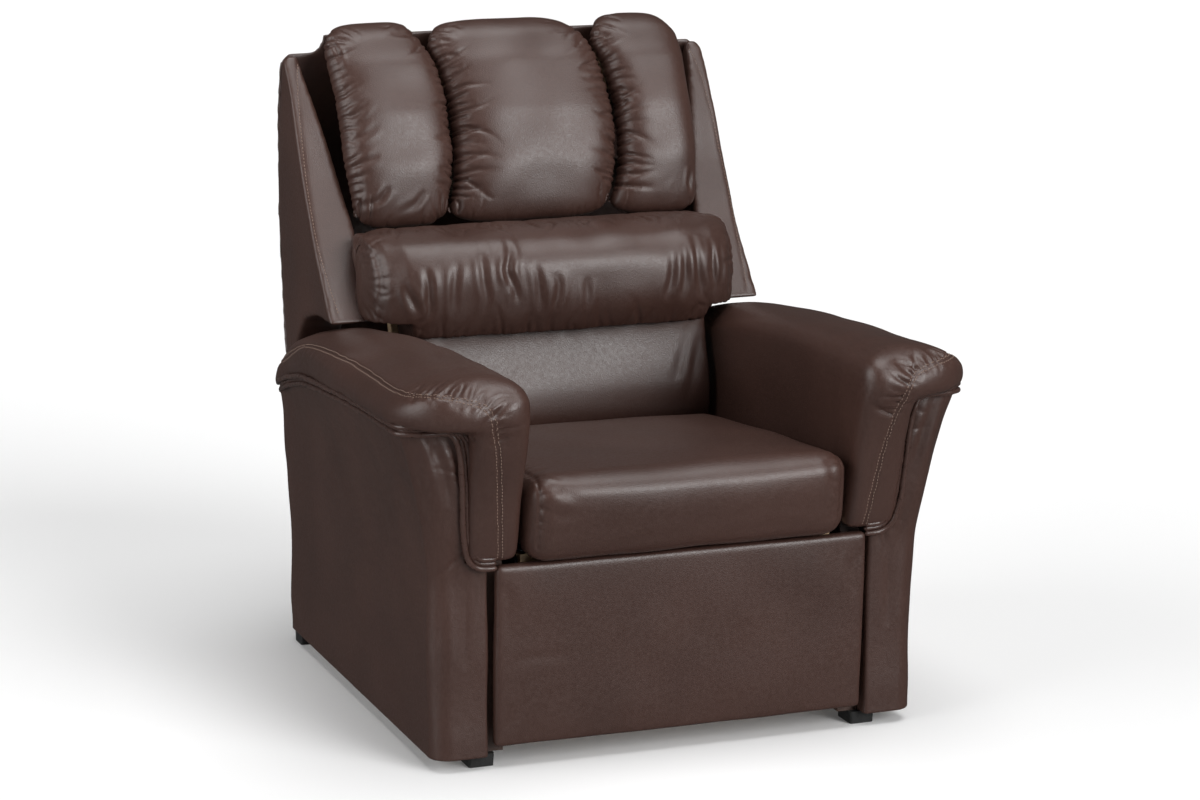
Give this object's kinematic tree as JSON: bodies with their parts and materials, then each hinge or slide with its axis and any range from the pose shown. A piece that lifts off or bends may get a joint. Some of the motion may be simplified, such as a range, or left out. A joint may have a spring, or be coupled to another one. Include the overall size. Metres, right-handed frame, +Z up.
{
  "type": "recliner armchair",
  "caption": "Padded push-back recliner armchair with winged pillow back, lumbar roll, flared arms and a fold-out footrest on a link mechanism.",
  "frame": {"origin": "on the floor, below the middle of the bounding box at rest", "axes": "+Z up, the chair faces -Y, +X to the right of someone looking at its front"},
  "size_m": [0.9404, 1.0208, 1.055],
  "materials": {
    "cover_leather": "satin",
    "welt_leather": "satin",
    "frame_wood": "matte",
    "foot_plastic": "matte",
    "mechanism_metal": "satin",
    "spring_steel": "satin",
    "deck_cloth": "matte",
    "webbing": "matte"
  },
  "bodies": {
    "base": {"arm_pad_left": "cover_leather", "arm_pad_right": "cover_leather", "arm_cover_left": "cover_leather", "arm_cover_right": "cover_leather", "arm_welt_left": "welt_leather", "arm_welt_right": "welt_leather", "arm_inner_panel_left": "cover_leather", "arm_inner_panel_right": "cover_leather", "arm_frame_left": "frame_wood", "arm_frame_right": "frame_wood", "foot_front_left": "foot_plastic", "foot_front_right": "foot_plastic", "foot_rear_left": "foot_plastic", "foot_rear_right": "foot_plastic", "base_plate_left": "mechanism_metal", "base_plate_right": "mechanism_metal", "base_rail_front": "frame_wood", "base_rail_rear": "frame_wood", "base_rear_panel": "cover_leather"},
    "swing_front": {"swing_link_front_left": "mechanism_metal", "swing_link_front_right": "mechanism_metal"},
    "swing_rear": {"swing_link_rear_left": "mechanism_metal", "swing_link_rear_right": "mechanism_metal"},
    "seat": {"seat_plate_left": "mechanism_metal", "seat_plate_right": "mechanism_metal", "seat_rail_side_left": "frame_wood", "seat_rail_side_right": "frame_wood", "seat_tube": "mechanism_metal", "seat_rail_front": "frame_wood", "seat_rail_rear": "frame_wood", "seat_springs": "spring_steel", "seat_deck": "deck_cloth", "seat_cushion": "cover_leather"},
    "back": {"back_post_left": "frame_wood", "back_post_right": "frame_wood", "back_bracket_left": "mechanism_metal", "back_bracket_right": "mechanism_metal", "back_wing_left": "cover_leather", "back_wing_right": "cover_leather", "back_cushion_left": "cover_leather", "back_cushion_right": "cover_leather", "back_rails": "frame_wood", "back_webbing": "webbing", "back_cover": "cover_leather", "back_cushion_centre": "cover_leather", "lumbar_cushion": "cover_leather", "lower_back_panel": "cover_leather"},
    "footrest_drive": {"drive_link_left": "mechanism_metal", "drive_link_right": "mechanism_metal", "drive_tube": "mechanism_metal"},
    "footrest_extension": {"extension_link_left": "mechanism_metal", "extension_link_right": "mechanism_metal"},
    "footrest_parallel": {"parallel_link_left": "mechanism_metal", "parallel_link_right": "mechanism_metal"},
    "footrest_control": {"control_link_left": "mechanism_metal", "control_link_right": "mechanism_metal"},
    "footrest": {"footrest_bracket_left": "mechanism_metal", "footrest_bracket_right": "mechanism_metal", "footrest_pad": "cover_leather", "footrest_board": "frame_wood"}
  },
  "joints": [
    {"name": "recline", "type": "hinge", "parent": "base", "child": "swing_front", "pos_m": [0, -0.20839, 0.18426], "axis": [1, 0, 0], "range_deg": [0, 28]},
    {"name": "seat_level", "type": "hinge", "parent": "swing_front", "child": "seat", "pos_m": [0, -0.19, 0.258], "axis": [-1, 0, 0], "range_deg": [0, 28.2]},
    {"name": "rear_swing", "type": "hinge", "parent": "base", "child": "swing_rear", "pos_m": [0, 0.09161, 0.18426], "axis": [1, 0, 0], "range_deg": [0, 28.2]},
    {"name": "back_recline", "type": "hinge", "parent": "seat", "child": "back", "pos_m": [0, 0.2, 0.3], "axis": [-1, 0, 0], "range_deg": [0, 22.2]},
    {"name": "footrest_open", "type": "hinge", "parent": "seat", "child": "footrest_drive", "pos_m": [0, -0.318, 0.252], "axis": [-1, 0, 0], "range_deg": [0, 94]},
    {"name": "extension_fold", "type": "hinge", "parent": "footrest_drive", "child": "footrest_extension", "pos_m": [0, -0.30377, 0.05251], "axis": [1, 0, 0], "range_deg": [0, 122.22]},
    {"name": "parallel_fold", "type": "hinge", "parent": "footrest_drive", "child": "footrest_parallel", "pos_m": [0, -0.30875, 0.12233], "axis": [1, 0, 0], "range_deg": [0, 122.22]},
    {"name": "control_swing", "type": "hinge", "parent": "seat", "child": "footrest_control", "pos_m": [0, -0.3451, 0.2878], "axis": [-1, 0, 0], "range_deg": [0, 93.37]},
    {"name": "panel_turn", "type": "hinge", "parent": "footrest_extension", "child": "footrest", "pos_m": [0, -0.36877, 0.18769], "axis": [-1, 0, 0], "range_deg": [0, 122.22]}
  ],
  "couplings": [
    {"joint": "seat_level", "follows": "recline", "ratio": 1},
    {"joint": "rear_swing", "follows": "recline", "ratio": 1},
    {"joint": "back_recline", "follows": "recline", "ratio": 0.78571},
    {"joint": "extension_fold", "follows": "footrest_open", "ratio": 1.297},
    {"joint": "parallel_fold", "follows": "footrest_open", "ratio": 1.297},
    {"joint": "control_swing", "follows": "footrest_open", "ratio": 0.99013},
    {"joint": "panel_turn", "follows": "footrest_open", "ratio": 1.297}
  ]
}
